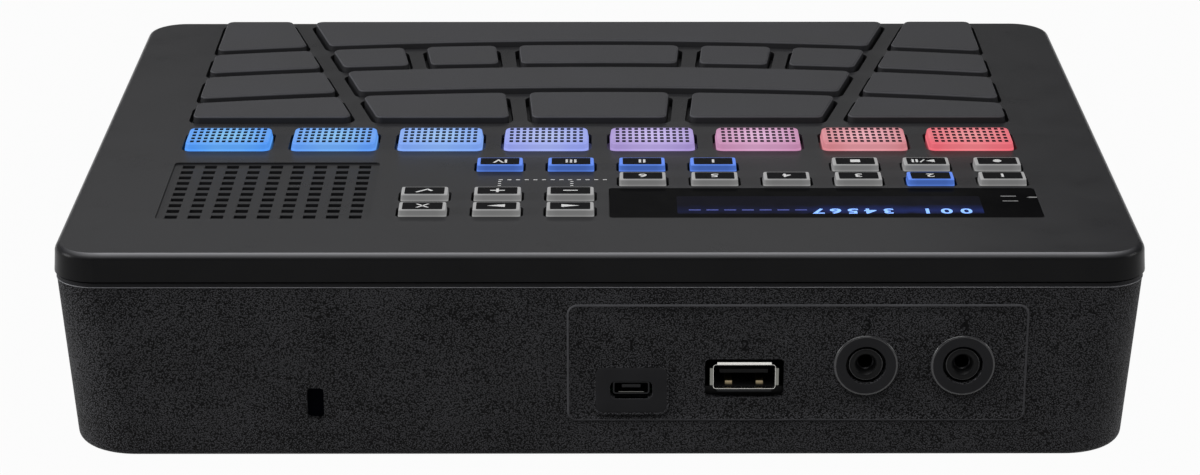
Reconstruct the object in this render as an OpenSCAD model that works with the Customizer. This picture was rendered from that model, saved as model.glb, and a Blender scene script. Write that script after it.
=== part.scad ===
// Desktop drum machine: a wide tapered case under a cover with 18 soft playing pads,
// a row of 8 lit pads, 19 small buttons, a display window and a speaker grille.
// The origin is the centre of the footprint and the feet stand on z = 0.
// The player sits on the -Y side, and the connectors are in the +Y wall.

/* [Body] */
// Width of the cover at the seam
body_w = 233; // [228:1:245]
// Depth of the cover at the seam
body_d = 180; // [177:1:190]
// Height from the underside of the case to the cover's face
body_h = 47; // [45:0.5:52]
// Height of the rubber feet
foot_h = 3; // [2:0.5:6]
// Thickness of the case walls
wall = 2.2; // [1.8:0.1:2.5]
// Thickness of the cover plate
cover_t = 2.2; // [2:0.1:2.6]
// Height of the cover's skirt, from its face to the seam
skirt_h = 6.05; // [5.8:0.05:7.5]
// Height of the dark seam between the cover and the case
seam_h = 0.4; // [0.2:0.1:1.2]
// Corner radius of the cover
corner_r = 9.5; // [8:0.5:11]
// How far each case wall leans in from the seam to the floor
case_taper = 1.9; // [1:0.1:3]

/* [Playing pads] */
// Distance from the playing pads to the sides of the cover
side_margin = 20; // [19.3:0.1:21]
// Distance from the playing pads to the front of the cover
front_margin = 4.4; // [4.3:0.1:5.5]
// Depth of the whole field of playing pads
field_d = 83; // [80:0.5:84]
// Distance between two rows of pads
row_gap = 3.5; // [3.4:0.1:4]
// Width of the outer pads at the front
wing_w = 17.3; // [16:0.1:18.5]
// Distance between the outer pads and the middle block
column_gap = 5.1; // [5:0.1:6]
// Height of the playing pads over the cover
pad_h = 1.5; // [1.2:0.1:2.5]
// Travel of the playing pads
pad_travel = 0.6; // [0.3:0.1:1]
// Radius of a playing pad's corners
pad_corner_r = 2.2; // [1.8:0.1:2.4]
// Radius of the bowed row edges
row_bow_r = 512; // [450:1:700]

/* [Lit pads] */
// Distance from the row of lit pads to the sides of the cover
key_margin = 20.7; // [20:0.1:22]
// Width of a lit pad
lit_w = 19.6; // [18:0.1:20.5]
// Depth of a lit pad
lit_d = 12.4; // [11:0.1:13]
// Height of the lit pads over the cover
lit_h = 1.7; // [1:0.1:2.5]
// Travel of the lit pads
lit_travel = 0.5; // [0.3:0.1:0.6]

/* [Buttons] */
// Width of a button
button_w = 10.5; // [9:0.5:11.5]
// Depth of a button
button_d = 5.5; // [5:0.1:6]
// Height of the buttons over the cover
button_h = 1.5; // [1:0.1:2]
// Strip of cover between the buttons and the speaker field
button_margin = 6.05; // [5.6:0.05:8]
// Distance between two rows of buttons
button_row_pitch = 10.4; // [10:0.1:10.6]
// Travel of the buttons
button_travel = 0.5; // [0.3:0.1:0.6]

/* [Display and speaker] */
// Strip of cover between the display window and the buttons beside it
window_gap = 3.25; // [3:0.05:6]
// Depth of the display window
window_d = 20.2; // [19.5:0.1:20.8]
// Width of the sunken speaker field
speaker_w = 46.7; // [44:0.1:47]
// Depth of the sunken speaker field
speaker_d = 39.1; // [38.5:0.1:40]

/* [Connectors] */
// Bore of the two jack sockets
jack_bore_d = 3.6; // [3.5:0.05:3.7]
// Distance between the two jack sockets
jack_pitch = 20.7; // [18:0.1:24]
// Diameter of the volume wheel
wheel_d = 18.4; // [17.6:0.1:18.6]

/* [Hidden] */
$fn = 48;
hull_fn = 32;
eps = 0.01;
fit = 0.05; // radial clearance of a pin in its hole
slip = 0.3; // clearance round the power button and the screws
pad_slip = 0.7; // clearance round the playing pads and the lit pads
button_slip = 0.6;

// Heights
face_z = foot_h + body_h;
under_z = face_z - cover_t;
seam_z = face_z - skirt_h;
rim_z = seam_z - seam_h;
floor_t = 2.5;
floor_z = foot_h + floor_t;
flange_t = 1;
stop_gap = 0.1;
board_t = 1.6;
board_top_z = under_z - flange_t - pad_travel - stop_gap;
board_z = board_top_z - board_t;
main_top_z = foot_h + 14.7;
main_z = main_top_z - board_t;

// Cover and case outline
flare = 0.3; // how far the skirt widens down to the seam
cover_edge_r = 1.6;
rim_inset = 0.4;
rim_r = corner_r - rim_inset;
floor_r = 14;
floor_edge_r = 1.9;
tongue_h = 2.1; // how far the case's tongue reaches over the rim
tongue_t = 1.2;
tongue_slack = 0.25;
tongue_inset = wall + tongue_slack;
half_w = body_w / 2;
half_d = body_d / 2;

// Playing pads: side lines are [x at y = 0, slope], and rows run from the front
field_y = -half_d + front_margin;
field_half_w = half_w - side_margin;
row_share = [18.0, 16.0, 17.8, 20.7];
share_sum = row_share[0] + row_share[1] + row_share[2] + row_share[3];
pads_d = field_d - 3 * row_gap;
row_d = [for (s = row_share) s / share_sum * pads_d];
row_y = [
    field_y,
    field_y + row_d[0] + row_gap,
    field_y + row_d[0] + row_d[1] + 2 * row_gap,
    field_y + field_d - row_d[3]
];
front_bowed = [false, true, true, true];
rear_bowed = [true, true, true, false];
side_line = [field_half_w, 0];
wing_x = field_half_w - wing_w;
wing_line = through([wing_x, field_y], -0.256);
block_x = wing_x - column_gap;
block_line = through([block_x, field_y], -0.2555);
ray_y = 300; // the splits inside a row aim at this point behind the case
pads = [
    [0, mirrored(side_line), mirrored(wing_line)],
    [0, mirrored(block_line), block_line],
    [0, wing_line, side_line],
    [1, mirrored(side_line), mirrored(wing_line)],
    [1, mirrored(block_line), mirrored(ray(0.703))],
    [1, mirrored(ray(0.6315)), mirrored(ray(0.3675))],
    [1, mirrored(ray(0.295)), ray(0.295)],
    [1, ray(0.3675), ray(0.6315)],
    [1, ray(0.703), block_line],
    [1, wing_line, side_line],
    [2, mirrored(side_line), mirrored(wing_line)],
    [2, mirrored(block_line), block_line],
    [2, wing_line, side_line],
    [3, mirrored(side_line), mirrored(wing_line)],
    [3, mirrored(block_line), mirrored(ray(0.359))],
    [3, mirrored(ray(0.2783)), ray(0.2783)],
    [3, ray(0.359), block_line],
    [3, wing_line, side_line]
];
edge_steps = 6;
corner_steps = 5;
corner_clear = 1.6; // in corner radii, how far an edge's first point is from the corner
pad_flange = 1.1;

// Lit pads, from the player's left
lit_count = 8;
key_half_w = half_w - key_margin;
lit_gap_y = 8.6; // distance between the playing pads and the lit pads
lit_y = field_y + field_d + lit_gap_y + lit_d / 2;
lit_pitch = (2 * key_half_w - lit_w) / (lit_count - 1);
lit_corner_r = 1.7;
lit_flange = 1.1;

// Buttons: [column, row], columns from the player's left and rows from the front
buttons = [
    [0, 0], [1, 0], [2, 0], [4, 0], [5, 0], [6, 0], [7, 0],
    [0, 1], [1, 1], [2, 1], [3, 1], [4, 1], [5, 1],
    [6, 2], [7, 2], [8, 2],
    [6, 3], [7, 3], [8, 3]
];
button_columns = 9;
button_y0 = lit_y + lit_d / 2 + 12.4;
button_x0 = -key_half_w + 5.5;
speaker_x = key_half_w + 0.9 - speaker_w / 2;
button_x_last = speaker_x - speaker_w / 2 - button_margin - button_w / 2;
button_pitch = (button_x_last - button_x0) / (button_columns - 1);
button_corner_r = 0.6;
button_flange = 1;

// Display window and speaker field
window_t = 1;
window_sink = 0.1;
window_slack = 0.15;
window_left = -key_half_w - 1;
window_w = button_x0 + 6 * button_pitch - button_w / 2 - window_gap - window_left;
window_x = window_left + window_w / 2;
window_y = button_y0 + button_row_pitch + button_d / 2 + 1.85 + window_d / 2;
aperture = [67, 12];
aperture_y = window_y + 1.8;
display_size = [76, 17, 5];
speaker_y = window_y - 9;
speaker_sink = 0.4;
slot_size = [2.75, 2.1];
slot_pitch = [5.02, 3.85];
slot_count = [9, 10];
driver_d = 37;
driver_rim_t = 1.5;
driver_h = 17;
magnet_d = 24;
magnet_h = 6;

// Screw bosses
boss_x = half_w - 11;
boss_points = [for (x = [-boss_x, boss_x], y = [-half_d + 14, 2, half_d - 12]) [x, y]];
boss_split_z = foot_h + 31;
cover_boss_d = 7;
case_boss_d = 9;
screw_r = 1.45;
screw_head_r = 2.9;
screw_head_h = 2.2;
screw_cross = [3.2, 0.8, 1.1];
screw_seat_z = boss_split_z - 4;
screw_top_z = under_z - 3;
head_bore_r = 3.3;

// Control board under the cover and the stakes that hold it
board_half_w = half_w - 16.5;
board_front_y = -half_d + 4.1;
board_mid_y = lit_y + lit_d / 2 + 7.5;
board_window_y = window_y - window_d / 2 + 1.6;
board_rear_y = button_y0 + 3 * button_row_pitch + button_d / 2 + 5;
board_keys_x = [button_x0 + 6 * button_pitch, button_x0 + 8 * button_pitch];
board_keys_margin = button_w / 2 + 2;
stake_d = 2.2;
stake_pin_r = 0.7;
stake_tip = 0.4;
wing_gap_x = (wing_line[0] + block_line[0]) / 2;
wing_gap_slope = (wing_line[1] + block_line[1]) / 2;
strip_y = lit_y + lit_d / 2 + 4.7; // middle of the strip between the lit pads and the buttons
pad_stake_rows = [field_y + 9.4, field_y + field_d - 10.4];
stakes = concat(
    [for (y = pad_stake_rows, side = [-1, 1]) [side * (wing_gap_x + wing_gap_slope * y), y]],
    [for (i = [0.5, 2.5, 4.5, 6.5]) [lit_x(i), strip_y]],
    [for (c = [6.5, 7.5]) [button_x0 + c * button_pitch, button_y0 + 2.5 * button_row_pitch]]
);

// Main board, with the connectors in a row along its rear edge
main_half_w = half_w - 16.5;
main_front_y = half_d - 56;
main_rear_y = half_d - 5.5;
main_post_d = 6;
main_pin_r = 1.2;
main_posts = [
    for (x = [8 - main_half_w, main_half_w - 12], y = [main_front_y + 6, main_rear_y - 5]) [x, y]
];
chip_y = half_d - 36;
chip_size = [16, 16, 1.4];
chip_x = -half_w + 138.5;
memory_size = [8, 12, 1.2];
memory_x = [chip_x + 22, chip_x + 38];

// Rear wall connectors, heights over z = 0 and places along X
port_y = half_d - 2;
jack_z = main_top_z + 6.85;
jack_x = -half_w + 59.7;
jack_body = [12, 13, 12.4];
jack_body_inset = 4.2;
jack_floor_t = 1;
jack_nose_d = 7.3;
jack_hole_d = 8.6;
jack_boss_d = 13.3;
jack_boss_y = half_d - 0.95;
usb_x = -half_w + 85.6;
usb_body = [13.6, 14, 5.8];
usb_foot_h = 1;
usb_wall = 0.4;
usb_lip = 0.6;
usb_tongue = [10.5, 9, 1.7];
usb_hole = [16.9, 9.2];
micro_x = -half_w + 109.8;
micro_body = [7.8, 5.6, 2.9];
micro_wall = 0.3;
micro_tongue = [4, 0.7];
micro_hole = [9, 3.8];
micro_boss = [16.1, 11.2];
micro_boss_y = half_d - 1.2;
lock_x = half_w - 55.5;
lock_z = foot_h + 12.4;
lock_slot = [3.6, 7.6];

// Volume wheel and power button in the +X wall
wheel_x = half_w - 9.3;
wheel_y = half_d - 39;
wheel_t = 3.5;
wheel_z = main_top_z + 3;
wheel_axle_r = 1.5;
wheel_slot_slack = 0.5;
notch_count = 24;
notch_r = 0.5;
notch_out = 0.1;
pot_size = [9, 9, 3];
power_y = half_d - 22;
ear_w = 10;
ear_y = [wheel_y - 8, power_y + 4.5];
power_z = main_top_z + 4.5;
power_cap = [8, 3.4];
power_face_x = half_w - 0.4;
power_seat_x = half_w - 4.5;
power_flange = [12, 6];
power_travel = 0.6;
power_pad = [14, 8];
power_stem_x = half_w - 11.5;
switch_size = [6, 8, 7];

// Speaker, battery and feet
battery_size = [90, 50, 8];
battery_at = [-15, -half_d + 45];
foot_d = 16;
foot_points = [for (x = [-1, 1], y = [-1, 1]) [x * (half_w - 21.5), y * (half_d - 20)]];

// Colours
cover_colour = [0.25, 0.25, 0.26];
case_colour = [0.13, 0.13, 0.14];
pad_colour = [0.29, 0.29, 0.31];
cap_colour = [0.5, 0.5, 0.5];
blue_colour = [0.25, 0.45, 0.95];
board_colour = [0.1, 0.35, 0.2];
metal_colour = [0.75, 0.75, 0.77];
black_colour = [0.05, 0.05, 0.06];
lit_colours = [
    [0.95, 0.3, 0.25], [0.95, 0.5, 0.5], [0.85, 0.5, 0.75], [0.7, 0.5, 0.85],
    [0.6, 0.55, 0.95], [0.45, 0.5, 0.95], [0.35, 0.5, 0.95], [0.25, 0.5, 0.95]
];

// The side line on the other side of the centre plane
function mirrored(line) = -line;

// A line through a point, with the x it gains per y
function through(p, slope) = [p[0] - slope * p[1], slope];

// A split line that aims at the point behind the case, from a share of the block's half width
function ray(share) =
    let (spread = share * block_x / (ray_y - field_y))
    [spread * ray_y, -spread];

function line_x(line, y) = line[0] + line[1] * y;

function edge_y(y_mid, bowed, x) = y_mid + (bowed ? x * x / (2 * row_bow_r) : 0);

// Where a side line meets a row edge, closing in from the edge's middle
function meet(line, y_mid, bowed, y, steps = 3) =
    steps == 0 ? [line_x(line, y), y]
    : meet(line, y_mid, bowed, edge_y(y_mid, bowed, line_x(line, y)), steps - 1);

// Points along a row edge, clear of the corners at its ends
function between(y_mid, bowed, x1, x2, clear) =
    let (
        inset = x2 > x1 ? clear : -clear,
        span = x2 - x1 - 2 * inset
    )
    [for (i = [0:edge_steps])
        let (x = x1 + inset + span * i / edge_steps)
        [x, edge_y(y_mid, bowed, x)]];

// The arc that rounds the corner p between the directions of a and b
function rounded(a, p, b, r) =
    let (
        u = (a - p) / norm(a - p),
        v = (b - p) / norm(b - p),
        half = acos(u * v) / 2,
        centre = p + (u + v) / norm(u + v) * r / sin(half),
        start = p + u * r / tan(half) - centre,
        turn = 180 - 2 * half,
        first = atan2(start[1], start[0])
    )
    [for (k = [0:corner_steps]) centre + r * [cos(first + turn * k / corner_steps),
                                              sin(first + turn * k / corner_steps)]];

// Outline of one playing pad, grown outwards all round
function pad_outline(pad, grow) =
    let (
        row = pad[0],
        left = pad[1] - [grow, 0],
        right = pad[2] + [grow, 0],
        front = row_y[row] - grow,
        rear = row_y[row] + row_d[row] + grow,
        fb = front_bowed[row],
        rb = rear_bowed[row],
        r = pad_corner_r + min(grow, pad_slip),
        fl = meet(left, front, fb, front),
        fr = meet(right, front, fb, front),
        rr = meet(right, rear, rb, rear),
        rl = meet(left, rear, rb, rear),
        clear = corner_clear * r,
        front_points = between(front, fb, fl[0], fr[0], clear),
        rear_points = between(rear, rb, rr[0], rl[0], clear)
    )
    concat(
        rounded(rl, fl, front_points[0], r),
        front_points,
        rounded(front_points[edge_steps], fr, rr, r),
        rounded(fr, rr, rear_points[0], r),
        rear_points,
        rounded(rear_points[edge_steps], rl, fl, r)
    );

function lit_x(i) = -key_half_w + lit_w / 2 + i * lit_pitch;

function button_at(cell) = [button_x0 + cell[0] * button_pitch,
                            button_y0 + cell[1] * button_row_pitch];

module rounded_rect(size, r) {
    square([size[0] - 2 * r, size[1]], center = true);
    square([size[0], size[1] - 2 * r], center = true);
    for (x = [-1, 1], y = [-1, 1])
        translate([x * (size[0] / 2 - r), y * (size[1] / 2 - r)])
            circle(r);
}

module at_z(z, h) {
    translate([0, 0, z])
        linear_extrude(h)
            children();
}

// A plate standing upright, with its outline in the XZ plane and y from y1 to y2
module upright(y1, y2) {
    translate([0, y2, 0])
        rotate([90, 0, 0])
            linear_extrude(y2 - y1)
                children();
}

module posts(points, d, z1, z2) {
    for (p = points)
        translate([p[0], p[1], z1])
            cylinder(d = d, h = z2 - z1);
}

// Cross-section of the cover's edge, outwards from a corner's centre
module skirt_profile() {
    edge_x = corner_r - flare - cover_edge_r;
    polygon([
        [0, under_z],
        [0, face_z],
        [edge_x, face_z],
        [edge_x, face_z - cover_edge_r],
        [corner_r - flare, face_z - cover_edge_r],
        [corner_r, seam_z],
        [corner_r - wall, seam_z],
        [corner_r - wall, under_z]
    ]);
    translate([edge_x, face_z - cover_edge_r])
        intersection() {
            circle(cover_edge_r);
            square(cover_edge_r);
        }
}

module skirt_side(length) {
    rotate([90, 0, 0])
        linear_extrude(length, center = true)
            skirt_profile();
}

module cover_blank() {
    cx = half_w - corner_r;
    cy = half_d - corner_r;
    at_z(under_z, cover_t)
        square([2 * cx, 2 * cy], center = true);
    for (turn = [0, 180])
        rotate([0, 0, turn]) {
            translate([cx, 0, 0])
                skirt_side(2 * cy);
            translate([0, cy, 0])
                rotate([0, 0, 90])
                    skirt_side(2 * cx);
            translate([cx, cy, 0])
                rotate_extrude(angle = 90)
                    skirt_profile();
            translate([-cx, cy, 0])
                rotate([0, 0, 90])
                    rotate_extrude(angle = 90)
                        skirt_profile();
        }
}

module cover_openings() {
    for (pad = pads)
        polygon(pad_outline(pad, pad_slip));
    for (i = [0:lit_count - 1])
        translate([lit_x(i), lit_y])
            rounded_rect([lit_w, lit_d] + 2 * [pad_slip, pad_slip], lit_corner_r + pad_slip);
    for (cell = buttons)
        translate(button_at(cell))
            rounded_rect([button_w, button_d] + 2 * [button_slip, button_slip],
                         button_corner_r + button_slip);
    translate([window_x, aperture_y])
        square(aperture, center = true);
}

module speaker_slots() {
    for (i = [0:slot_count[0] - 1], j = [0:slot_count[1] - 1])
        translate([
            speaker_x + (i - (slot_count[0] - 1) / 2) * slot_pitch[0],
            speaker_y + (j - (slot_count[1] - 1) / 2) * slot_pitch[1]
        ])
            square(slot_size, center = true);
}

module top_cover() {
    color(cover_colour)
        difference() {
            union() {
                cover_blank();
                posts(boss_points, cover_boss_d, boss_split_z, under_z + eps);
                posts(stakes, stake_d, board_top_z, under_z + eps);
                posts(stakes, 2 * stake_pin_r, board_z - stake_tip, board_top_z + eps);
            }
            at_z(under_z - eps, cover_t + 2 * eps)
                cover_openings();
            at_z(under_z - eps, cover_t + 2 * eps)
                speaker_slots();
            at_z(face_z - speaker_sink, speaker_sink + eps)
                translate([speaker_x, speaker_y])
                    rounded_rect([speaker_w, speaker_d], 1);
            at_z(face_z - window_t - window_sink, window_t + window_sink + eps)
                translate([window_x, window_y])
                    rounded_rect([window_w, window_d], 1);
            posts(boss_points, 2 * (screw_r + fit), boss_split_z - eps, screw_top_z + 0.5);
        }
}

// A thin slice of the case at its rim
module rim_slice(inset, z) {
    at_z(z - eps, eps)
        rounded_rect([body_w - 2 * inset, body_d - 2 * inset], max(rim_r + rim_inset - inset, 2));
}

module case_outside() {
    inset = rim_inset + case_taper + floor_r;
    hull() {
        rim_slice(rim_inset, rim_z, $fn = 2 * hull_fn);
        for (x = [-1, 1], y = [-1, 1])
            translate([x * (half_w - inset), y * (half_d - inset), foot_h])
                rotate_extrude($fn = 2 * hull_fn) {
                    square([floor_r - floor_edge_r, floor_edge_r]);
                    translate([floor_r - floor_edge_r, floor_edge_r])
                        intersection() {
                            circle(floor_edge_r, $fn = hull_fn);
                            translate([0, -floor_edge_r])
                                square(floor_edge_r);
                        }
                }
    }
}

module case_inside() {
    inset = rim_inset + case_taper + wall;
    r = floor_r - wall;
    hull() {
        rim_slice(tongue_inset + tongue_t, rim_z + eps, $fn = hull_fn);
        at_z(floor_z, eps)
            rounded_rect([body_w - 2 * inset, body_d - 2 * inset], r, $fn = hull_fn);
    }
}

module tongue() {
    outer = [body_w, body_d] - 2 * [tongue_inset, tongue_inset];
    inner = outer - 2 * [tongue_t, tongue_t];
    r = corner_r - tongue_inset;
    at_z(rim_z - 1, tongue_h + 1)
        difference() {
            rounded_rect(outer, r);
            rounded_rect(inner, r - tongue_t);
        }
}

// Openings in the rear wall for the connectors
module rear_openings() {
    for (i = [0, 1])
        translate([jack_x - i * jack_pitch, jack_z])
            circle(d = jack_hole_d);
    translate([usb_x, main_top_z + usb_foot_h + usb_body[2] / 2 - 0.3])
        rounded_rect(usb_hole, 1);
    translate([micro_x, main_top_z + micro_body[2] / 2 - 0.3])
        rounded_rect(micro_hole, 1);
    translate([lock_x, lock_z])
        rounded_rect(lock_slot, 1);
}

module rear_bosses() {
    depth = wall + 1;
    for (i = [0, 1])
        translate([jack_x - i * jack_pitch, 0, jack_z])
            upright(jack_boss_y - depth, jack_boss_y)
                circle(d = jack_boss_d);
    translate([micro_x, 0, main_top_z + micro_body[2] / 2 - 0.3])
        upright(micro_boss_y - depth, micro_boss_y)
            rounded_rect(micro_boss, 2);
}

module wheel_window() {
    translate([wheel_x, wheel_y, wheel_z - wheel_slot_slack])
        cylinder(d = wheel_d + 2 * wheel_slot_slack, h = wheel_t + 2 * wheel_slot_slack);
}

// A block through the +X wall, from x1 to x2, round the power button
module power_block(x1, x2, size) {
    translate([x1, power_y - size[0] / 2, power_z - size[1] / 2])
        cube([x2 - x1, size[0], size[1]]);
}

module bottom_case() {
    color(case_colour)
        difference() {
            union() {
                difference() {
                    case_outside();
                    case_inside();
                }
                tongue();
                rear_bosses();
                power_block(power_seat_x, half_w - 2.6, power_pad);
                posts(boss_points, case_boss_d, floor_z - eps, boss_split_z);
                posts(main_posts, main_post_d, floor_z - eps, main_z);
                posts(main_posts, 2 * main_pin_r, main_z - eps, main_top_z + 1);
            }
            upright(half_d - 7, half_d + 1)
                rear_openings();
            wheel_window();
            power_block(power_seat_x - 1, half_w + 1, power_cap + 2 * [slip, slip]);
            posts(boss_points, 2 * head_bore_r, foot_h - 1, screw_seat_z);
            posts(boss_points, 2 * (screw_r + slip), foot_h, boss_split_z + 1);
        }
}

module display_window() {
    color(black_colour)
        at_z(face_z - window_t - window_sink, window_t)
            translate([window_x, window_y])
                rounded_rect([window_w - 2 * window_slack, window_d - 2 * window_slack], 0.85);
}

module display_module() {
    color(metal_colour)
        at_z(under_z - display_size[2], display_size[2])
            translate([window_x, aperture_y])
                square([display_size[0], display_size[1]], center = true);
}

module control_board_outline() {
    polygon([
        [-board_half_w, board_front_y],
        [board_half_w, board_front_y],
        [board_half_w, board_mid_y],
        [board_keys_x[1] + board_keys_margin, board_mid_y],
        [board_keys_x[1] + board_keys_margin, board_rear_y],
        [board_keys_x[0] - board_keys_margin, board_rear_y],
        [board_keys_x[0] - board_keys_margin, board_window_y],
        [-board_half_w, board_window_y]
    ]);
}

module control_board() {
    color(board_colour)
        at_z(board_z, board_t)
            difference() {
                control_board_outline();
                for (p = stakes)
                    translate(p)
                        circle(stake_pin_r + fit);
            }
}

module main_board_outline() {
    translate([-main_half_w, main_front_y])
        square([2 * main_half_w, main_rear_y - main_front_y]);
    translate([main_half_w - eps, ear_y[0]])
        square([ear_w, ear_y[1] - ear_y[0]]);
}

// Board with its processor, its two memory chips, the volume control's body and the power switch
module main_board() {
    color(board_colour) {
        at_z(main_z, board_t)
            difference() {
                main_board_outline();
                for (p = main_posts)
                    translate(p)
                        circle(main_pin_r + fit);
            }
        at_z(main_top_z - eps, chip_size[2])
            translate([chip_x, chip_y])
                square([chip_size[0], chip_size[1]], center = true);
        for (x = memory_x)
            at_z(main_top_z - eps, memory_size[2])
                translate([x, chip_y])
                    square([memory_size[0], memory_size[1]], center = true);
        translate([wheel_x - pot_size[0] / 2, wheel_y - pot_size[1] / 2, main_top_z - eps])
            cube(pot_size + [0, 0, eps]);
        translate([wheel_x, wheel_y, main_top_z])
            cylinder(r = wheel_axle_r, h = pot_size[2] + wheel_t + 0.5);
        translate([power_stem_x - switch_size[0] - power_travel - stop_gap,
                   power_y - switch_size[1] / 2, main_top_z - eps])
            cube(switch_size);
    }
}

module speaker_driver() {
    color(black_colour)
        translate([speaker_x, speaker_y, under_z])
            mirror([0, 0, 1]) {
                difference() {
                    union() {
                        cylinder(d = driver_d, h = driver_rim_t);
                        cylinder(d1 = driver_d - 4, d2 = magnet_d - 3, h = driver_h - magnet_h + eps);
                    }
                    translate([0, 0, -eps])
                        cylinder(d1 = driver_d - 7, d2 = 8, h = 7);
                }
                translate([0, 0, driver_h - magnet_h])
                    cylinder(d = magnet_d, h = magnet_h);
            }
}

module battery_pack() {
    color(metal_colour)
        at_z(floor_z, battery_size[2])
            translate(battery_at)
                rounded_rect([battery_size[0], battery_size[1]], 3);
}

// Stamped shell of the wide socket, flared at its mouth, with the tongue inside
module usb_a_port() {
    w = usb_body[0];
    h = usb_body[2];
    color(metal_colour)
        translate([usb_x, 0, main_top_z + usb_foot_h + h / 2]) {
            upright(port_y - usb_body[1], port_y)
                difference() {
                    square([w, h], center = true);
                    square([w - 2 * usb_wall, h - 2 * usb_wall], center = true);
                }
            upright(port_y - usb_wall, port_y)
                difference() {
                    union() {
                        square([w + 2 * usb_lip, h - 1.8], center = true);
                        translate([0, usb_lip / 2])
                            square([w - 2, h + usb_lip], center = true);
                    }
                    square([w - 2 * usb_wall, h - 2 * usb_wall], center = true);
                }
            upright(port_y - usb_body[1], port_y - usb_body[1] + 2)
                square([w - usb_wall, h - usb_wall], center = true);
            translate([0, 0, 0.65])
                upright(port_y - usb_body[1] + eps, port_y - usb_body[1] + 2 + usb_tongue[1])
                    square([usb_tongue[0], usb_tongue[2]], center = true);
            translate([-w / 2, port_y - usb_body[1], -h / 2 - usb_foot_h])
                cube([w, usb_body[1] - 3, usb_foot_h + usb_wall / 2]);
        }
}

module micro_usb_port() {
    w = micro_body[0];
    h = micro_body[2];
    color(metal_colour)
        translate([micro_x, 0, main_top_z + h / 2]) {
            upright(port_y - micro_body[1], port_y)
                difference() {
                    rounded_rect([w, h], 0.6);
                    rounded_rect([w - 2 * micro_wall, h - 2 * micro_wall], 0.35);
                }
            upright(port_y - micro_body[1], port_y - micro_body[1] + 1)
                rounded_rect([w - micro_wall, h - micro_wall], 0.5);
            upright(port_y - micro_body[1] + eps, port_y - 1)
                square(micro_tongue, center = true);
        }
}

module jack_sockets() {
    body_y = half_d - jack_body_inset - jack_body[1];
    color(black_colour)
        for (i = [0, 1])
            translate([jack_x - i * jack_pitch, 0, 0])
                difference() {
                    union() {
                        translate([-jack_body[0] / 2, body_y, main_top_z])
                            cube(jack_body);
                        translate([0, 0, jack_z])
                            upright(body_y + jack_body[1] - eps, port_y + 0.3)
                                circle(d = jack_nose_d);
                    }
                    translate([0, 0, jack_z])
                        upright(body_y + jack_floor_t, port_y + 1)
                            circle(d = jack_bore_d);
                }
}

module rubber_feet() {
    color(black_colour)
        posts(foot_points, foot_d, 0, foot_h);
}

module case_screws() {
    color(metal_colour)
        for (p = boss_points)
            translate([p[0], p[1], 0])
                difference() {
                    union() {
                        translate([0, 0, screw_seat_z - screw_head_h])
                            cylinder(r = screw_head_r, h = screw_head_h);
                        translate([0, 0, screw_seat_z - eps])
                            cylinder(r = screw_r, h = screw_top_z - screw_seat_z);
                    }
                    for (turn = [0, 90])
                        rotate([0, 0, turn])
                            translate([0, 0, screw_seat_z - screw_head_h + screw_cross[2] / 2 - eps])
                                cube(screw_cross, center = true);
                }
}

module volume_wheel() {
    color(black_colour)
        translate([wheel_x, wheel_y, wheel_z])
            difference() {
                cylinder(d = wheel_d, h = wheel_t);
                translate([0, 0, -1])
                    cylinder(r = wheel_axle_r + fit, h = wheel_t + 2);
                for (i = [0:notch_count - 1])
                    rotate([0, 0, i * 360 / notch_count])
                        translate([wheel_d / 2 + notch_out, 0, -1])
                            cylinder(r = notch_r, h = wheel_t + 2);
            }
}

module power_button() {
    color(black_colour) {
        power_block(power_seat_x - flange_t + eps, power_face_x, power_cap);
        power_block(power_seat_x - flange_t, power_seat_x, power_flange);
        power_block(power_stem_x, power_seat_x - flange_t + eps, [3, 3]);
    }
}

// A cap that slides in the cover, with its flange under the plate and its stop on the board
module cap(height, travel) {
    flange_z = board_top_z + travel + stop_gap;
    at_z(under_z - eps, cover_t + height + eps)
        children(0);
    at_z(flange_z, under_z - flange_z)
        children(1);
}

module playing_pad(i) {
    color(pad_colour)
        cap(pad_h, pad_travel) {
            polygon(pad_outline(pads[i], 0));
            polygon(pad_outline(pads[i], pad_flange));
        }
}

module lit_pad(i) {
    color(lit_colours[i])
        translate([lit_x(i), lit_y])
            cap(lit_h, lit_travel) {
                rounded_rect([lit_w, lit_d], lit_corner_r);
                rounded_rect([lit_w, lit_d] + 2 * [lit_flange, lit_flange], lit_corner_r);
            }
}

module button(i) {
    color(buttons[i][1] == 0 && buttons[i][0] > 3 || i == 8 ? blue_colour : cap_colour)
        translate(button_at(buttons[i]))
            cap(button_h, button_travel) {
                rounded_rect([button_w, button_d], button_corner_r);
                rounded_rect([button_w, button_d] + 2 * [button_flange, button_flange],
                             button_corner_r);
            }
}

top_cover();
bottom_case();
display_window();
display_module();
control_board();
main_board();
speaker_driver();
battery_pack();
usb_a_port();
micro_usb_port();
jack_sockets();
rubber_feet();
case_screws();
volume_wheel();
power_button();
for (i = [1:len(pads)])
    playing_pad(i - 1);
for (i = [1:lit_count])
    lit_pad(i - 1);
for (i = [1:len(buttons)])
    button(i - 1);
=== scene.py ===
"""Looks of the drum machine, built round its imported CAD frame.

Lengths are in millimetres. Meshes, shaders, lamps and the camera take them in metres.
The player sits on the -Y side, and the sockets are in the +Y wall, which the camera faces.
"""

import math

import bmesh
import bpy
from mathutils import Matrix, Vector


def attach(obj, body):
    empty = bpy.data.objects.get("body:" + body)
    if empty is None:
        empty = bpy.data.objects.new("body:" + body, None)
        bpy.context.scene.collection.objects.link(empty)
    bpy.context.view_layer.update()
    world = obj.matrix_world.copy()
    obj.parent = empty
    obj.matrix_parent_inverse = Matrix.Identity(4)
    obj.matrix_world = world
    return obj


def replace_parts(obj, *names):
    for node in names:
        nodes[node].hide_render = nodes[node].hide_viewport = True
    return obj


MM = 0.001
HOUSING = "housing"

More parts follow.
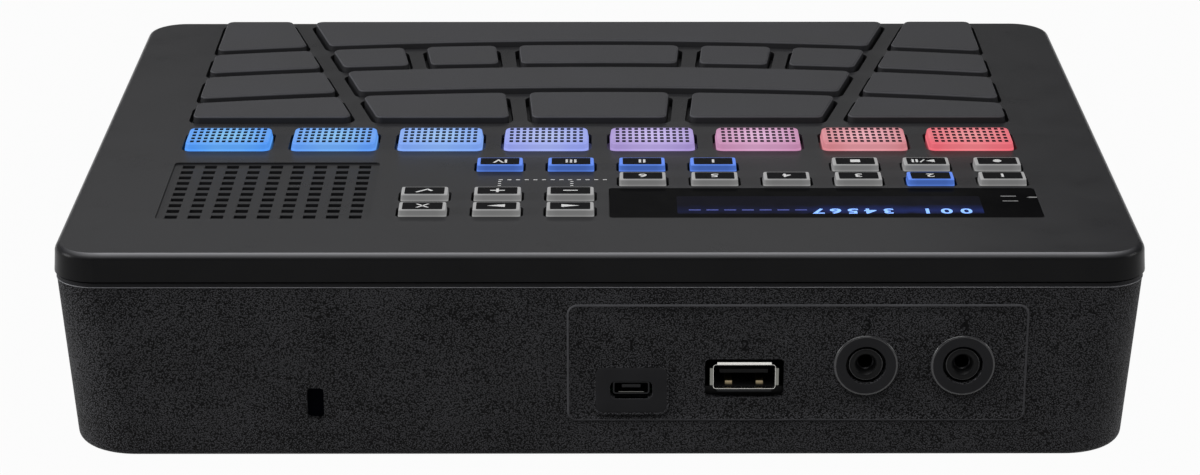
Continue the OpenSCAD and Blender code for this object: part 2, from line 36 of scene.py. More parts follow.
# The body, as in the part's source
HALF_W = 116.5
HALF_D = 90.0
CORNER_R = 9.5
EDGE_R = 1.6
FACE_Z = 50.0
UNDER_Z = 47.8
RIM_Z = 43.55
RIM_INSET = 0.4
WALL_FOOT_Z = 4.9
WALL_LEAN = 1.9
BOARD_TOP_Z = 46.1
STOP_GAP = 0.1

# The smooth lip of the case, over its leather grain
LIP_H = 1.0

# Tops of the caps, as in the part's source
PAD_TOP = 51.5
LIT_TOP = 51.7
BUTTON_TOP = 51.5

# Shares of a cap's colour or glow, as (height, share) stops up its wall. They paint light: painted
# shade down the pads' walls and on the lower walls of the lit pads and buttons in their openings,
# and painted highlights on the caps' top edges and at the feet of the lit pads and buttons
PAD_SHARES = [(50.2, 0.3), (51.0, 0.3), (51.15, 1.0), (51.4, 1.0), (51.46, 0.6), (PAD_TOP, 0.6)]
LIT_SHARES = [(UNDER_Z, 0.06), (49.4, 0.35), (49.8, 0.95), (50.15, 1.0), (50.35, 0.8),
              (51.2, 0.78), (51.4, 0.92), (51.65, 0.82), (LIT_TOP, 0.76)]
BUTTON_SHARES = [(49.3, 0.1), (49.75, 0.5), (49.95, 1.0), (50.25, 0.6), (51.1, 0.55),
                 (51.2, 1.0), (BUTTON_TOP, 1.0)]

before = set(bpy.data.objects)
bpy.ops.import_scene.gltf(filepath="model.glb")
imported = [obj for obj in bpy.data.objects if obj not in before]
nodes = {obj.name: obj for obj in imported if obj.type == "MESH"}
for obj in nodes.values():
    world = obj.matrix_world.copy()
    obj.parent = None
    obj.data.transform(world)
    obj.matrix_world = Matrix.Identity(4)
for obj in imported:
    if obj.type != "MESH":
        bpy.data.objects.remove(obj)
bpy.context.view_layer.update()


# ---------------------------------------------------------------- colours and shader nodes


def srgb(r, g=None, b=None):
    """A screen colour from 0 to 255, as the linear colour that a shader takes. One value is a grey."""
    channels = (r, r if g is None else g, r if b is None else b)

    def linear(c):
        c /= 255
        return c / 12.92 if c <= 0.04045 else ((c + 0.055) / 1.055) ** 2.4

    return tuple(linear(c) for c in channels) + (1.0,)


def grey(k):
    """A linear grey, which also serves as a factor."""
    return (k, k, k, 1.0)


def scaled(colour, k):
    return tuple(min(1.0, c * k) for c in colour[:3]) + (1.0,)


class Shader:
    """A material's node tree, with a Principled shader and object coordinates in metres."""

    def __init__(self, name):
        self.material = bpy.data.materials.new(name)
        self.material.use_nodes = True
        self.tree = self.material.node_tree
        self.tree.nodes.clear()
        self.output = self.node("ShaderNodeOutputMaterial")
        self.body = self.node("ShaderNodeBsdfPrincipled")
        self.link(self.body.outputs[0], self.output.inputs["Surface"])
        self.coords = self.node("ShaderNodeTexCoord")

    def node(self, kind, **settings):
        made = self.tree.nodes.new(kind)
        for key, value in settings.items():
            setattr(made, key, value)
        return made

    def link(self, source, target):
        self.tree.links.new(source, target)

    def feed(self, target, value):
        """Gives a socket a fixed value, or links it to another socket."""
        if isinstance(value, bpy.types.NodeSocket):
            self.link(value, target)
        else:
            target.default_value = value

    def set(self, **values):
        """Feeds the shader's own sockets, named with _ for each space."""
        for key, value in values.items():
            self.feed(self.body.inputs[key.replace("_", " ")], value)

    def noise(self, size, detail=2.0, roughness=0.5, distortion=0.0):
        """Noise whose features are about size millimetres across."""
        made = self.node("ShaderNodeTexNoise")
        self.link(self.coords.outputs["Object"], made.inputs["Vector"])
        made.inputs["Scale"].default_value = 1 / (size * MM)
        made.inputs["Detail"].default_value = detail
        made.inputs["Roughness"].default_value = roughness
        made.inputs["Distortion"].default_value = distortion
        return made.outputs["Fac"]

    def cells(self, size):
        """Distance from the nearest of scattered points, about size millimetres apart."""
        made = self.node("ShaderNodeTexVoronoi", feature="F1")
        self.link(self.coords.outputs["Object"], made.inputs["Vector"])
        made.inputs["Scale"].default_value = 1 / (size * MM)
        made.inputs["Randomness"].default_value = 1.0
        return made.outputs["Distance"]

    def axis(self, name, source="Object"):
        """One coordinate: in metres, or from 0 to 1 across the piece if source is Generated."""
        split = self.node("ShaderNodeSeparateXYZ")
        self.link(self.coords.outputs[source], split.inputs[0])
        return split.outputs[name]

    def vector(self, operation, a, b=None):
        """A vector operation on socket a, with b as its fixed second vector."""
        made = self.node("ShaderNodeVectorMath", operation=operation)
        self.link(a, made.inputs[0])
        if b is not None:
            made.inputs[1].default_value = b
        return made.outputs["Value" if operation == "LENGTH" else "Vector"]

    def math(self, operation, *values):
        made = self.node("ShaderNodeMath", operation=operation)
        for target, value in zip(made.inputs, values):
            self.feed(target, value)
        return made.outputs[0]

    def mix(self, factor, a, b, blend="MIX"):
        """Colour b over colour a."""
        made = self.node("ShaderNodeMix", data_type="RGBA", blend_type=blend)
        self.feed(made.inputs["Factor"], factor)
        self.feed(made.inputs["A"], a)
        self.feed(made.inputs["B"], b)
        return made.outputs["Result"]

    def spread(self, value, low, high, source_low=0.3, source_high=0.7):
        """value mapped to low..high from its own range, by default the usual one of noise."""
        made = self.node("ShaderNodeMapRange")
        self.link(value, made.inputs["Value"])
        made.inputs["From Min"].default_value = source_low
        made.inputs["From Max"].default_value = source_high
        made.inputs["To Min"].default_value = low
        made.inputs["To Max"].default_value = high
        return made.outputs[0]

    def rise(self, value, low, high):
        """0 up to low millimetres of value, 1 from high on, and even between them."""
        return self.spread(value, 0.0, 1.0, low * MM, high * MM)

    def fall(self, value, low, high):
        """1 up to low millimetres of value, 0 from high on, and even between them."""
        return self.spread(value, 1.0, 0.0, low * MM, high * MM)

    def ramp(self, value, *stops):
        """Colours along value, as (position, colour) stops."""
        made = self.node("ShaderNodeValToRGB")
        self.link(value, made.inputs["Fac"])
        while len(made.color_ramp.elements) < len(stops):
            made.color_ramp.elements.new(0.5)
        for element, (position, colour) in zip(made.color_ramp.elements, stops):
            element.position = position
            element.color = colour
        return made.outputs["Color"]

    def by_height(self, colour, shares):
        """The colour, darkened with height to the share that the (height, share) stops give."""
        low = shares[0][0]
        high = shares[-1][0]
        stops = [((z - low) / (high - low), grey(share)) for z, share in shares]
        share = self.ramp(self.rise(self.axis("Z"), low, high), *stops)
        return self.mix(1.0, colour, share, "MULTIPLY")

    def bump(self, height, depth, strength=1.0):
        """Relief of depth millimetres."""
        made = self.node("ShaderNodeBump")
        self.link(height, made.inputs["Height"])
        made.inputs["Distance"].default_value = depth * MM
        self.feed(made.inputs["Strength"], strength)
        self.set(Normal=made.outputs[0])

    def moulded(self, tone, grain, depth, rough):
        """The fine grain of moulded plastic, and a sheen that varies with it and with the tone."""
        fine = self.noise(grain, 3, 0.6)
        both = self.math("ADD", fine, tone)
        self.set(Roughness=self.spread(both, *rough, source_low=0.7, source_high=1.3))
        self.bump(fine, depth)


PLASTIC_PATCH = 9.0
PLASTIC_MOTTLE = 0.12
PLASTIC_UNEVEN = 0.06


def plastic(name, colour, rough, gloss, grain, depth):
    """Moulded plastic: fine grain, uneven sheen and a slight change of tone from place to place."""
    s = Shader(name)
    tone = s.noise(PLASTIC_PATCH, 3)
    dark = scaled(colour, 1 - PLASTIC_MOTTLE)
    pale = scaled(colour, 1 + PLASTIC_MOTTLE)
    s.set(Base_Color=s.ramp(tone, (0.3, dark), (0.7, pale)), Specular_IOR_Level=gloss)
    s.moulded(tone, grain, depth, (rough - PLASTIC_UNEVEN, rough + PLASTIC_UNEVEN))
    return s.material


# The painted highlight, a pale line along the round of the cover's edge, starts this far inside
# that round, and it fades out between these distances from the cover's sides
HIGHLIGHT_START = 0.3
HIGHLIGHT_ENDS = (11.5, 2.5)


def cover_plastic():
    """The cover's fine matt plastic: greyer on the plate than on the skirt, whose darker colour is
    painted shade, and palest on a line along its long edges, a painted highlight."""
    s = Shader("cover_plastic")
    tone = s.noise(11, 3)
    plate = s.ramp(tone, (0.3, srgb(41, 41, 43)), (0.7, srgb(46, 46, 48)))
    skirt = s.ramp(tone, (0.3, srgb(25, 25, 26)), (0.7, srgb(29, 29, 30)))
    # The skirt's darker colour is painted shade
    base = s.mix(s.rise(s.axis("Z"), FACE_Z - 1.3, FACE_Z - 0.2), skirt, plate)

    # How far out a point is from the lines that join the centres of the corner rounds
    centres = ((HALF_W - CORNER_R) * MM, (HALF_D - CORNER_R) * MM, 0)
    in_plan = s.vector("MULTIPLY", s.vector("ABSOLUTE", s.coords.outputs["Object"]), (1, 1, 0))
    outside = s.vector("MAXIMUM", s.vector("SUBTRACT", in_plan, centres), (0, 0, 0))
    start = CORNER_R - EDGE_R - HIGHLIGHT_START
    across = s.rise(s.vector("LENGTH", outside), start, start + EDGE_R)
    line = s.ramp(across, (0.05, grey(0)), (0.25, grey(1)), (0.5, grey(0.7)), (0.72, grey(0.2)),
                  (0.9, grey(0)))

    # The pale line on the round of the long edges is a painted highlight
    on_edge = s.rise(s.axis("Z"), FACE_Z - EDGE_R, FACE_Z - 0.7 * EDGE_R)
    on_long_side = s.fall(s.math("ABSOLUTE", s.axis("X")), HALF_W - HIGHLIGHT_ENDS[0], HALF_W - HIGHLIGHT_ENDS[1])
    painted_highlight = s.math("MULTIPLY", s.math("MULTIPLY", line, on_edge), on_long_side)
    s.set(Base_Color=s.mix(painted_highlight, base, srgb(148, 148, 151)), Specular_IOR_Level=0.07)
    s.moulded(tone, 0.25, 0.005, (0.27, 0.33))
    return s.material


def pad_rubber():
    """Soft matt rubber, with painted shade down its walls and a painted highlight along its top edge.
    """
    s = Shader("pad_rubber")
    tone = s.noise(16, 3)
    top = s.ramp(tone, (0.3, srgb(81, 81, 84)), (0.7, srgb(87, 87, 91)))
    s.set(Base_Color=s.by_height(top, PAD_SHARES), Specular_IOR_Level=0.08)
    s.moulded(tone, 0.35, 0.012, (0.44, 0.54))
    return s.material


def leather_plastic():
    """Black plastic with a pressed leather grain, smooth in a narrow lip under the seam. The grain's
    colour follows its relief: painted shade in its hollows and a painted highlight on its crests.
    """
    s = Shader("case_plastic")
    hills = s.spread(s.cells(0.36), 1.0, 0.0, 0.1, 0.75)
    wrinkles = s.noise(0.22, 2, 0.5, 0.3)
    relief = s.math("ADD", s.math("MULTIPLY", hills, 0.7), wrinkles)
    toned = s.math("ADD", relief, s.math("MULTIPLY", s.noise(14, 2), 0.3))
    # Dark in the hollows and pale on the crests: painted shade and a painted highlight of the grain
    grain_painted_light = s.ramp(toned, (0.64, srgb(8, 8, 9)), (0.85, srgb(31, 31, 32)), (1.0, srgb(84, 84, 87)))
    below_lip = s.fall(s.axis("Z"), RIM_Z - LIP_H - 0.15, RIM_Z - LIP_H)
    s.set(Base_Color=s.mix(below_lip, srgb(46, 46, 48), grain_painted_light), Specular_IOR_Level=0.08)
    s.set(Roughness=s.spread(wrinkles, 0.5, 0.62))
    s.bump(relief, 0.3, below_lip)
    return s.material


# Share of a lit pad's colour that it shows without its lamp
UNLIT_SHARE = 0.14


def lamp_silicone(name, core, rim):
    """Translucent silicone over a lamp: palest at its middle, and deeper in colour towards its rim. Up
    its wall the glow carries painted shade in the opening and painted highlights at its foot and top
    edge.
    """
    s = Shader(name)
    centred = s.vector("SUBTRACT", s.coords.outputs["Generated"], (0.5, 0.5, 0.5))
    reach = s.vector("LENGTH", s.vector("MULTIPLY", centred, (1.0, 0.85, 0.0)))
    cloudy = s.math("ADD", reach, s.spread(s.noise(5, 2), -0.04, 0.04))
    glow = s.ramp(cloudy, (0.08, core), (0.52, rim))
    unlit = s.ramp(cloudy, (0.08, scaled(core, UNLIT_SHARE)), (0.52, scaled(rim, UNLIT_SHARE)))
    fine = s.noise(0.3, 3)
    s.set(Base_Color=unlit, Roughness=s.spread(fine, 0.42, 0.55), Specular_IOR_Level=0.3)
    s.set(Emission_Color=s.by_height(glow, LIT_SHARES), Emission_Strength=1.0)
    s.bump(fine, 0.008)
    return s.material


def metal(name, colour, rough):
    """Plated metal, a little uneven in tone and sheen."""
    s = Shader(name)
    tone = s.noise(0.4, 3, 0.6)
    s.set(Base_Color=s.ramp(tone, (0.3, scaled(colour, 0.9)), (0.7, scaled(colour, 1.05))))
    s.set(Roughness=s.spread(tone, rough - 0.05, rough + 0.08), Metallic=1.0)
    s.bump(tone, 0.004)
    return s.material


def glowing_plastic(name, colour, lit):
    """Translucent plastic that glows, partly from a faint light behind it and partly as painted light
    on its faces, with painted highlights at its ends, its foot and its top edge.
    """
    s = Shader(name)
    off_centre = s.math("ABSOLUTE", s.math("SUBTRACT", s.axis("X", "Generated"), 0.5))
    glow = s.ramp(off_centre, (0.25, scaled(lit, 0.55)), (0.5, scaled(lit, 0.85)))
    tone = s.noise(3, 2)
    fine = s.noise(0.3, 3)
    s.set(Base_Color=s.ramp(tone, (0.3, scaled(colour, 0.94)), (0.7, scaled(colour, 1.06))))
    s.set(Roughness=s.spread(fine, 0.4, 0.5), Specular_IOR_Level=0.3)
    s.set(Emission_Color=s.by_height(glow, BUTTON_SHARES), Emission_Strength=1.0)
    s.bump(fine, 0.006)
    return s.material


def glowing(name, colour, strength):
    """A lit mark: its own colour, with a slight unevenness."""
    s = Shader(name)
    uneven = s.ramp(s.noise(1.2, 2), (0.3, scaled(colour, 0.8)), (0.7, colour))
    s.set(Base_Color=uneven, Roughness=0.4, Specular_IOR_Level=0.2)
    s.set(Emission_Color=uneven, Emission_Strength=strength)
    return s.material


def display_panel():
    """The lit panel behind the window: nearly black, with a blue glow round the lit digits."""
    s = Shader("display_panel")
    along = s.math("ADD", s.axis("Y", "Generated"), s.spread(s.noise(3.5, 2), -0.05, 0.05))
    glow = s.ramp(along, (0.0, srgb(19, 19, 24)), (0.5, srgb(20, 21, 30)), (0.8, srgb(30, 40, 90)),
                  (0.9, srgb(26, 34, 76)), (1.0, srgb(16, 16, 22)))
    near_digits = s.spread(s.axis("X", "Generated"), 1.0, 0.25, 0.5, 0.62)
    s.set(Emission_Color=s.mix(near_digits, srgb(19, 19, 28), glow), Emission_Strength=1.0)
    s.set(Base_Color=srgb(4, 4, 5), Specular_IOR_Level=0.002)
    s.set(Roughness=s.spread(s.noise(3, 2), 0.12, 0.2))
    return s.material


COVER = cover_plastic()
CASE = leather_plastic()
PAD = pad_rubber()
ETCHED = plastic("etched_mark", srgb(20, 20, 21), rough=0.4, gloss=0.05, grain=0.3, depth=0.003)
# Pale edges of the jack bosses and noses: a painted highlight
BEAD = plastic("rim_highlight", srgb(60, 60, 62), rough=0.26, gloss=0.5, grain=1.5, depth=0.003)
# The lip bead's pale colour is a painted highlight
LIP = plastic("lip_highlight", srgb(118, 118, 122), rough=0.3, gloss=0.3, grain=1.5, depth=0.003)
SMOOTH_CASE = plastic("smooth_case", srgb(52, 52, 54), rough=0.42, gloss=0.04, grain=0.3, depth=0.006)
# The socket panel's pale edge strip is a painted highlight
PANEL_EDGE = plastic("panel_edge", srgb(82, 82, 85), rough=0.45, gloss=0.1, grain=0.6, depth=0.01)
WINDOW = plastic("window_acrylic", srgb(15, 15, 16), rough=0.16, gloss=0.002, grain=3.0, depth=0.002)
# The caps' glow is partly a faint light behind them and partly painted light on their faces
CAP_GREY = glowing_plastic("cap_grey", srgb(100), srgb(160))
CAP_BLUE = glowing_plastic("cap_blue", srgb(34, 60, 120), srgb(104, 150, 255))
LABEL = plastic("cap_label", srgb(20, 20, 22), rough=0.6, gloss=0.03, grain=0.3, depth=0.004)
PRINT_WHITE = plastic("print_white", srgb(228), rough=0.5, gloss=0.2, grain=0.2, depth=0.002)
PRINT_GREY = plastic("print_grey", srgb(150), rough=0.5, gloss=0.2, grain=0.2, depth=0.002)
# Dark ink of the lit pads' dots, also used as painted shade inside the security slot
DOT = plastic("dot_ink_and_slot_shade", srgb(8, 10, 20), rough=0.6, gloss=0.02, grain=0.2, depth=0.003)
BLACK = plastic("moulded_black", srgb(20, 20, 21), rough=0.45, gloss=0.12, grain=0.3, depth=0.004)
SOFT_BLACK = plastic("foot_rubber", srgb(30), rough=0.75, gloss=0.15, grain=0.5, depth=0.02)
WHEEL = plastic("wheel_plastic", srgb(34, 34, 35), rough=0.45, gloss=0.3, grain=0.3, depth=0.006)
BOARD = plastic("board_mask", srgb(22, 74, 44), rough=0.35, gloss=0.45, grain=1.2, depth=0.006)
PAPER = plastic("speaker_paper", srgb(36, 35, 34), rough=0.85, gloss=0.1, grain=0.6, depth=0.03)
WRAP = plastic("battery_wrap", srgb(120, 124, 130), rough=0.3, gloss=0.5, grain=2.0, depth=0.01)
MODULE = plastic("module_frame", srgb(120, 122, 126), rough=0.35, gloss=0.5, grain=1.0, depth=0.004)
NICKEL = metal("nickel", (0.78, 0.77, 0.73, 1), rough=0.22)
STEEL = metal("zinc_steel", (0.5, 0.5, 0.52, 1), rough=0.35)
# Nickel painted a mid grey, a painted half shade: the wide socket's side flares and the micro-USB lip
NICKEL_HALF_SHADE = metal("nickel_painted_half_shade", (0.22, 0.22, 0.2, 1), rough=0.4)
# Nickel painted near black, a painted shade: the jack sleeves, the micro-USB shell and the wide
# socket's lower flare
NICKEL_IN_SHADE = metal("nickel_painted_shade", (0.02, 0.02, 0.021, 1), rough=0.35)
GOLD = metal("contact_gold", (0.36, 0.29, 0.18, 1), rough=0.35)
DASH_LIT = glowing("display_dash", srgb(48, 58, 125), strength=0.8)
DIGIT_LIT = glowing("display_digits", srgb(130, 176, 255), strength=0.9)
PANEL = display_panel()

# Core and rim colours of the lit pads, from the player's left
LAMP_COLOURS = [
    (srgb(242, 151, 155), srgb(235, 104, 118)),
    (srgb(241, 177, 187), srgb(212, 132, 140)),
    (srgb(229, 184, 219), srgb(199, 140, 178)),
    (srgb(206, 191, 244), srgb(170, 150, 212)),
    (srgb(180, 193, 244), srgb(152, 164, 240)),
    (srgb(156, 196, 246), srgb(128, 168, 246)),
    (srgb(134, 194, 245), srgb(98, 158, 247)),
    (srgb(127, 195, 245), srgb(82, 156, 251)),
]


# ---------------------------------------------------------------- mesh helpers


def add(name, data):
    obj = bpy.data.objects.new(name, data)
    bpy.context.scene.collection.objects.link(obj)
    return obj


def dress(obj, material):
    """Gives a piece its material."""
    obj.data.materials.clear()
    obj.data.materials.append(material)


class Solid:
    """Gathers closed shapes into one list of points and faces."""

    def __init__(self):
        self.points = []
        self.faces = []

    def stack(self, loops, ring=False):
        """Joins loops of equal length into a skin. Its ends are capped, or joined for a ring."""
        base = len(self.points)
        n = len(loops[0])
        last = len(loops) - 1
        for loop in loops:
            self.points.extend(loop)
        pairs = [(k, k + 1) for k in range(last)]
        if ring:
            pairs.append((last, 0))
        for low, high in pairs:
            for i in range(n):
                j = (i + 1) % n
                corners = (low * n + i, low * n + j, high * n + j, high * n + i)
                self.faces.append(tuple(base + corner for corner in corners))
        if not ring:
            self.faces.append(tuple(base + i for i in reversed(range(n))))
            self.faces.append(tuple(base + last * n + i for i in range(n)))
        return self

    def box(self, low, high):
        plan = bar(low[0], high[0], low[1], high[1])
        return self.stack([flat(plan, low[2]), flat(plan, high[2])])


def make(name, solid, material, body, angle=35):
    """A new piece that rides on a body. An edge that turns by more than angle degrees is sharp."""
    mesh = bpy.data.meshes.new(name)
    mesh.from_pydata([[c * MM for c in p] for p in solid.points], [], solid.faces)
    mesh.validate()
    skin = bmesh.new()
    skin.from_mesh(mesh)
    bmesh.ops.recalc_face_normals(skin, faces=skin.faces)
    skin.to_mesh(mesh)
    skin.free()
    mesh.shade_smooth()
    mesh.set_sharp_from_angle(angle=math.radians(angle))
    obj = add(name, mesh)
    obj.modifiers.new("even", "WEIGHTED_NORMAL").keep_sharp = True
    dress(obj, material)
    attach(obj, body)
    return obj


def bar(x1, x2, y1, y2):
    return [(x1, y1), (x2, y1), (x2, y2), (x1, y2)]


def moved(outline, at):
    return [(x + at[0], y + at[1]) for x, y in outline]


def circle(r, n, centre=(0, 0)):
    turns = [math.tau * i / n for i in range(n)]
    return [(centre[0] + r * math.cos(a), centre[1] + r * math.sin(a)) for a in turns]


def rounded_rect(w, d, r, steps=6, centre=(0, 0)):
    """A rectangle whose corners are rounds of radius r, in so many steps each."""
    points = []
    for k, (sx, sy) in enumerate([(1, -1), (1, 1), (-1, 1), (-1, -1)]):
        cx = centre[0] + sx * (w / 2 - r)
        cy = centre[1] + sy * (d / 2 - r)
        for i in range(steps + 1):
            a = math.radians(-90 + 90 * k + 90 * i / steps)
            points.append((cx + r * math.cos(a), cy + r * math.sin(a)))
    return points


def inset(outline, d):
    """The outline moved inwards by d."""
    inner = []
    n = len(outline)
    for i, p in enumerate(outline):
        a = outline[i - 1]
        b = outline[(i + 1) % n]
        u = Vector((p[0] - a[0], p[1] - a[1])).normalized()
        v = Vector((b[0] - p[0], b[1] - p[1])).normalized()
        normal = Vector((-u[1] - v[1], u[0] + v[0])).normalized()
        reach = d / max(0.5, normal.dot(Vector((-u[1], u[0]))))
        inner.append((p[0] + normal[0] * reach, p[1] + normal[1] * reach))
    return inner


def flat(outline, z):
    return [(x, y, z) for x, y in outline]


def standing(outline, y):
    """An outline of x and z, as points of a face that looks along Y."""
    return [(x, y, z) for x, z in outline]


def wall_gap(z):
    """How far the case wall stands inside the cover's own outline at height z."""
    return RIM_INSET + WALL_LEAN * (RIM_Z - z) / (RIM_Z - WALL_FOOT_Z)


def on_wall(u, v, lift=0.0):
    """A point of the rear wall, u to the right as the camera sees it, v the height over the floor."""
    return (-u, HALF_D - wall_gap(v) + lift, v)


# A cap's walls start to lean in this far below the cover's face
LEAN_DROP = 0.1
TOP_STEPS = 5


def cap(outline, flange, travel, top, edge_r, draft):
    """A sliding cap with its flange under the cover's plate. Over the plate, its walls lean in by
    draft up to the round of its top edge."""
    loops = [flat(flange, BOARD_TOP_Z + travel + STOP_GAP), flat(flange, UNDER_Z),
             flat(outline, UNDER_Z), flat(outline, FACE_Z - LEAN_DROP)]
    slim = inset(outline, draft)
    for k in range(TOP_STEPS + 1):
        a = math.pi / 2 * k / TOP_STEPS
        loops.append(flat(inset(slim, edge_r * (1 - math.cos(a))), top - edge_r + edge_r * math.sin(a)))
    return Solid().stack(loops)


# ---------------------------------------------------------------- playing pads

# Rows and the lines between the pads, as in the part's source
FIELD_Y = -85.6
FIELD_HALF_W = 96.5
ROW_Y = [FIELD_Y, -64.1, -44.6, -23.3]
ROW_REAR_Y = [-67.6, -48.1, -26.8, -2.6]
FRONT_BOWED = [False, True, True, True]
REAR_BOWED = [True, True, True, False]
BOW_R = 512.0
RAY_Y = 300.0
WING_X = 79.2
WING_SLOPE = -0.256
BLOCK_X = 74.1
BLOCK_SLOPE = -0.2555
PAD_R = 2.2
PAD_FLANGE = 1.1
PAD_TRAVEL = 0.6
OPENING_SLIP = 0.7
CORNER_CLEAR = 1.6

# Gaps inside each row's middle block, as shares of half its width
ROW_GAPS = [
    [],
    [(-0.703, -0.6315), (-0.3675, -0.295), (0.295, 0.3675), (0.6315, 0.703)],
    [],
    [(-0.359, -0.2783), (0.2783, 0.359)],
]

# The rubber is slimmer than its solid by this much all round
PAD_SLIM = 0.3
PAD_EDGE_R = 0.4
PAD_DRAFT = 0.1
EDGE_STEPS = 16
CORNER_STEPS = 7


def through(x, slope):
    """The side line, as x at y = 0 and slope, that passes the front of the field at x."""
    return (x - slope * FIELD_Y, slope)


def ray(share):
    """The side line at a share of the middle block, which aims at a point behind the machine."""
    slope = -share * BLOCK_X / (RAY_Y - FIELD_Y)
    return (-slope * RAY_Y, slope)


def mirrored(line):
    return (-line[0], -line[1])


SIDE = (FIELD_HALF_W, 0.0)
WING = through(WING_X, WING_SLOPE)
BLOCK = through(BLOCK_X, BLOCK_SLOPE)


def row_lines(gaps):
    """The left and right side lines of each pad of a row, from the player's left."""
    lefts = [mirrored(SIDE), mirrored(BLOCK)] + [ray(gap[1]) for gap in gaps] + [WING]
    rights = [mirrored(WING)] + [ray(gap[0]) for gap in gaps] + [BLOCK, SIDE]
    return list(zip(lefts, rights))


def edge_y(y, bowed, x):
    return y + (x * x / (2 * BOW_R) if bowed else 0.0)


def meet(line, y_mid, bowed):
    """Where a side line meets a row edge that has y_mid at its middle."""
    y = y_mid
    for _ in range(4):
        y = edge_y(y_mid, bowed, line[0] + line[1] * y)
    return (line[0] + line[1] * y, y)


def rounded_corner(a, p, b, r):
    """Points of the round of radius r at p, between the directions of a and b."""
    a, p, b = Vector(a), Vector(p), Vector(b)
    u = (a - p).normalized()
    v = (b - p).normalized()
    half = u.angle(v) / 2
    centre = p + (u + v).normalized() * r / math.sin(half)
    start = p + u * r / math.tan(half) - centre
    first = math.atan2(start[1], start[0])
    turns = [first + (math.pi - 2 * half) * k / CORNER_STEPS for k in range(CORNER_STEPS + 1)]
    return [(centre[0] + r * math.cos(turn), centre[1] + r * math.sin(turn)) for turn in turns]


def pad_outline(row, left, right, grow):
    """A pad's outline, grown by so much all round."""
    left = (left[0] - grow, left[1])
    right = (right[0] + grow, right[1])
    front = ROW_Y[row] - grow
    rear = ROW_REAR_Y[row] + grow
    front_bowed = FRONT_BOWED[row]
    rear_bowed = REAR_BOWED[row]
    r = PAD_R + min(grow, OPENING_SLIP)
    corners = [meet(left, front, front_bowed), meet(right, front, front_bowed),
               meet(right, rear, rear_bowed), meet(left, rear, rear_bowed)]

    def between(y, bowed, x1, x2):
        skip = math.copysign(CORNER_CLEAR * r, x2 - x1)
        span = x2 - x1 - 2 * skip
        xs = [x1 + skip + span * i / EDGE_STEPS for i in range(EDGE_STEPS + 1)]
        return [(x, edge_y(y, bowed, x)) for x in xs]

    low = between(front, front_bowed, corners[0][0], corners[1][0])
    high = between(rear, rear_bowed, corners[2][0], corners[3][0])
    return (rounded_corner(corners[3], corners[0], low[0], r) + low
            + rounded_corner(low[-1], corners[1], corners[2], r)
            + rounded_corner(corners[1], corners[2], high[0], r) + high
            + rounded_corner(high[-1], corners[3], corners[0], r))


pad_lines = [(row, left, right) for row, gaps in enumerate(ROW_GAPS) for left, right in row_lines(gaps)]
for number, (row, left, right) in enumerate(pad_lines, 1):
    name = f"pad_{number}"
    outline = pad_outline(row, left, right, -PAD_SLIM)
    flange = pad_outline(row, left, right, PAD_FLANGE)
    solid = cap(outline, flange, PAD_TRAVEL, PAD_TOP, PAD_EDGE_R, PAD_DRAFT)
    piece = make(f"{name}_rubber", solid, PAD, name)
    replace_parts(piece, name)


# ---------------------------------------------------------------- lit pads

# As in the part's source
KEY_HALF_W = 95.8
LIT_W = 19.6
LIT_D = 12.4
LIT_Y = 12.2
LIT_PITCH = (2 * KEY_HALF_W - LIT_W) / (len(LAMP_COLOURS) - 1)
LIT_R = 1.7
LIT_FLANGE = 1.1
LIT_TRAVEL = 0.5

LIT_EDGE_R = 0.5
LIT_DRAFT = 0.25
DOT_COLUMNS = 12
DOT_ROWS = 5
DOT_PITCH = (1.465, 2.3)
DOT_SIZE = (0.86, 1.35)
DOT_R = 0.12
DOT_RISE = 0.03
DOT_ROOT = 0.1
DOT_BEVEL = (0.04, 0.005)

for i, (core, rim) in enumerate(LAMP_COLOURS):
    name = f"lit_pad_{i + 1}"
    centre = (-KEY_HALF_W + LIT_W / 2 + i * LIT_PITCH, LIT_Y)
    outline = rounded_rect(LIT_W, LIT_D, LIT_R, centre=centre)
    flange = rounded_rect(LIT_W + 2 * LIT_FLANGE, LIT_D + 2 * LIT_FLANGE, LIT_R, centre=centre)
    solid = cap(outline, flange, LIT_TRAVEL, LIT_TOP - DOT_RISE, LIT_EDGE_R, LIT_DRAFT)
    material = lamp_silicone(f"silicone_{i + 1}", core, rim)
    piece = make(f"{name}_silicone", solid, material, name)
    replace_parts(piece, name)
    dots = Solid()
    for column in range(DOT_COLUMNS):
        for row in range(DOT_ROWS):
            at = (centre[0] + (column - (DOT_COLUMNS - 1) / 2) * DOT_PITCH[0],
                  centre[1] + (row - (DOT_ROWS - 1) / 2) * DOT_PITCH[1])
            dot = rounded_rect(*DOT_SIZE, DOT_R, steps=1, centre=at)
            dots.stack([flat(dot, LIT_TOP - DOT_ROOT), flat(dot, LIT_TOP - DOT_BEVEL[1]),
                        flat(inset(dot, DOT_BEVEL[0]), LIT_TOP)])
    make(f"{name}_dots", dots, DOT, name)


# ---------------------------------------------------------------- text and signs

TEXT_RISE = 0.03
MARK_ROOT = 0.02


